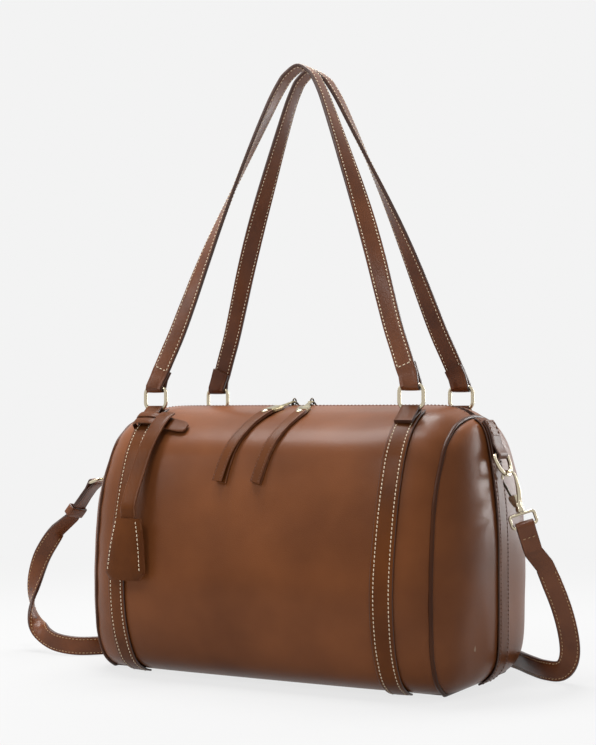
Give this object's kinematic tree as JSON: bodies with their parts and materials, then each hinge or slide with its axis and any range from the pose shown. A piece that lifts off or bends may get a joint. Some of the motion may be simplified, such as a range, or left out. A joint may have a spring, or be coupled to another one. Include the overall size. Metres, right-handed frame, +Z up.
{
  "type": "barrel bag",
  "caption": "Leather barrel bag with a zip top, two ring-hung handles, stitched strips, a clip-on shoulder strap and a hanging key charm.",
  "frame": {"origin": "on the floor under the middle of the bag's flat base", "axes": "+X along the bag towards its right end, +Y towards the back, +Z up"},
  "size_m": [0.47, 0.2462, 0.4698],
  "materials": {
    "body_leather": "semi-gloss",
    "trim_leather": "semi-gloss",
    "edge_piping": "semi-gloss",
    "zip_tape": "matte",
    "zip_metal": "satin",
    "antique_brass": "polished",
    "lining_cloth": "matte",
    "board": "matte"
  },
  "bodies": {
    "bag": {"front_panel": "body_leather", "back_panel": "body_leather", "bottom_panel": "body_leather", "left_end_panel": "body_leather", "right_end_panel": "body_leather", "left_piping": "edge_piping", "right_piping": "edge_piping", "front_left_strip": "trim_leather", "front_right_strip": "trim_leather", "back_left_strip": "trim_leather", "back_right_strip": "trim_leather", "front_left_tab": "trim_leather", "front_right_tab": "trim_leather", "back_left_tab": "trim_leather", "back_right_tab": "trim_leather", "left_end_strip": "trim_leather", "right_end_strip": "trim_leather", "left_dee_tab": "trim_leather", "right_dee_tab": "trim_leather", "front_zip_tape": "zip_tape", "back_zip_tape": "zip_tape", "zip_teeth": "zip_metal", "base_board": "board", "lining": "lining_cloth"},
    "front_left_ring_body": {"front_left_ring": "antique_brass"},
    "front_right_ring_body": {"front_right_ring": "antique_brass"},
    "front_handle_body": {"front_handle": "trim_leather"},
    "back_left_ring_body": {"back_left_ring": "antique_brass"},
    "back_right_ring_body": {"back_right_ring": "antique_brass"},
    "back_handle_body": {"back_handle": "trim_leather"},
    "left_slider_body": {"left_slider": "zip_metal"},
    "left_link_body": {"left_pull_link": "zip_metal"},
    "left_pull_body": {"left_pull_clamp": "antique_brass", "left_pull_leather": "trim_leather", "left_pull_rivet": "antique_brass"},
    "right_slider_body": {"right_slider": "zip_metal"},
    "right_link_body": {"right_pull_link": "zip_metal"},
    "right_pull_body": {"right_pull_clamp": "antique_brass", "right_pull_leather": "trim_leather", "right_pull_rivet": "antique_brass"},
    "left_dee_ring_body": {"left_dee_ring": "antique_brass"},
    "right_dee_ring_body": {"right_dee_ring": "antique_brass"},
    "shoulder_strap_body": {"shoulder_strap": "trim_leather", "strap_keeper": "trim_leather", "left_strap_loop": "antique_brass", "right_strap_loop": "antique_brass"},
    "left_hook_body": {"left_hook": "antique_brass", "left_gate_pin": "antique_brass"},
    "left_gate_body": {"left_gate": "antique_brass"},
    "right_hook_body": {"right_hook": "antique_brass", "right_gate_pin": "antique_brass"},
    "right_gate_body": {"right_gate": "antique_brass"},
    "charm_strap_body": {"charm_strap": "trim_leather"},
    "charm_bell_body": {"charm_bell": "trim_leather"}
  },
  "joints": [
    {"name": "front_left_ring_swing", "type": "hinge", "parent": "bag", "child": "front_left_ring_body", "pos_m": [-0.11, -0.04671, 0.2019], "axis": [1, 0, 0], "range_deg": [0, 60]},
    {"name": "front_right_ring_swing", "type": "hinge", "parent": "bag", "child": "front_right_ring_body", "pos_m": [0.11, -0.04671, 0.2019], "axis": [1, 0, 0], "range_deg": [0, 60]},
    {"name": "front_handle_swing", "type": "hinge", "parent": "front_left_ring_body", "child": "front_handle_body", "pos_m": [-0.11, -0.04671, 0.2195], "axis": [1, 0, 0], "range_deg": [0, 75]},
    {"name": "back_left_ring_swing", "type": "hinge", "parent": "bag", "child": "back_left_ring_body", "pos_m": [-0.11, 0.04671, 0.2019], "axis": [-1, 0, 0], "range_deg": [0, 60]},
    {"name": "back_right_ring_swing", "type": "hinge", "parent": "bag", "child": "back_right_ring_body", "pos_m": [0.11, 0.04671, 0.2019], "axis": [-1, 0, 0], "range_deg": [0, 60]},
    {"name": "back_handle_swing", "type": "hinge", "parent": "back_left_ring_body", "child": "back_handle_body", "pos_m": [-0.11, 0.04671, 0.2195], "axis": [-1, 0, 0], "range_deg": [0, 75]},
    {"name": "left_slider_slide", "type": "slide", "parent": "bag", "child": "left_slider_body", "axis": [1, 0, 0], "range_m": [-0.043, 0]},
    {"name": "left_link_swing", "type": "hinge", "parent": "left_slider_body", "child": "left_link_body", "pos_m": [-0.0105, 0, 0.20765], "axis": [-1, 0, 0], "range_deg": [0, 60]},
    {"name": "left_pull_swing", "type": "hinge", "parent": "left_link_body", "child": "left_pull_body", "pos_m": [-0.0105, -0.00085, 0.20765], "axis": [-1, 0, 0], "range_deg": [0, 60]},
    {"name": "right_slider_slide", "type": "slide", "parent": "bag", "child": "right_slider_body", "axis": [1, 0, 0], "range_m": [0, 0.076]},
    {"name": "right_link_swing", "type": "hinge", "parent": "right_slider_body", "child": "right_link_body", "pos_m": [0.005, 0, 0.20765], "axis": [-1, 0, 0], "range_deg": [0, 60]},
    {"name": "right_pull_swing", "type": "hinge", "parent": "right_link_body", "child": "right_pull_body", "pos_m": [0.005, -0.00085, 0.20765], "axis": [-1, 0, 0], "range_deg": [0, 60]},
    {"name": "left_dee_ring_swing", "type": "hinge", "parent": "bag", "child": "left_dee_ring_body", "pos_m": [-0.15968, 0, 0.16832], "axis": [0, 1, 0], "range_deg": [0, 11]},
    {"name": "right_dee_ring_swing", "type": "hinge", "parent": "bag", "child": "right_dee_ring_body", "pos_m": [0.15968, 0, 0.16832], "axis": [0, -1, 0], "range_deg": [0, 11]},
    {"name": "shoulder_strap_swing", "type": "hinge", "parent": "bag", "child": "shoulder_strap_body", "pos_m": [0, 0, 0.16591], "axis": [-1, 0, 0], "range_deg": [-55, 0]},
    {"name": "left_hook_swivel", "type": "hinge", "parent": "shoulder_strap_body", "child": "left_hook_body", "pos_m": [-0.18836, 0, 0.14554], "axis": [-0.9397, 0, -0.342], "range_deg": [-10, 10]},
    {"name": "left_gate_press", "type": "hinge", "parent": "left_hook_body", "child": "left_gate_body", "pos_m": [-0.18089, 0, 0.14549], "axis": [0, -1, 0], "range_deg": [0, 20], "stiffness_Nm_per_rad": 0.01},
    {"name": "right_hook_swivel", "type": "hinge", "parent": "shoulder_strap_body", "child": "right_hook_body", "pos_m": [0.17384, 0, 0.13102], "axis": [0.342, 0, -0.9397], "range_deg": [-10, 10]},
    {"name": "right_gate_press", "type": "hinge", "parent": "right_hook_body", "child": "right_gate_body", "pos_m": [0.169, 0, 0.13671], "axis": [0, 1, 0], "range_deg": [0, 20], "stiffness_Nm_per_rad": 0.01},
    {"name": "charm_swing", "type": "hinge", "parent": "bag", "child": "charm_strap_body", "pos_m": [-0.0916, -0.05522, 0.19776], "axis": [1, 0, 0], "range_deg": [-60, 0]},
    {"name": "bell_slide", "type": "slide", "parent": "charm_strap_body", "child": "charm_bell_body", "axis": [0, 0.0785, 0.9969], "range_m": [0, 0.02]}
  ],
  "couplings": [
    {"joint": "front_right_ring_swing", "follows": "front_left_ring_swing", "ratio": 1},
    {"joint": "back_right_ring_swing", "follows": "back_left_ring_swing", "ratio": 1},
    {"joint": "left_dee_ring_swing", "follows": "shoulder_strap_swing", "ratio": -0.2},
    {"joint": "right_dee_ring_swing", "follows": "shoulder_strap_swing", "ratio": -0.2}
  ]
}
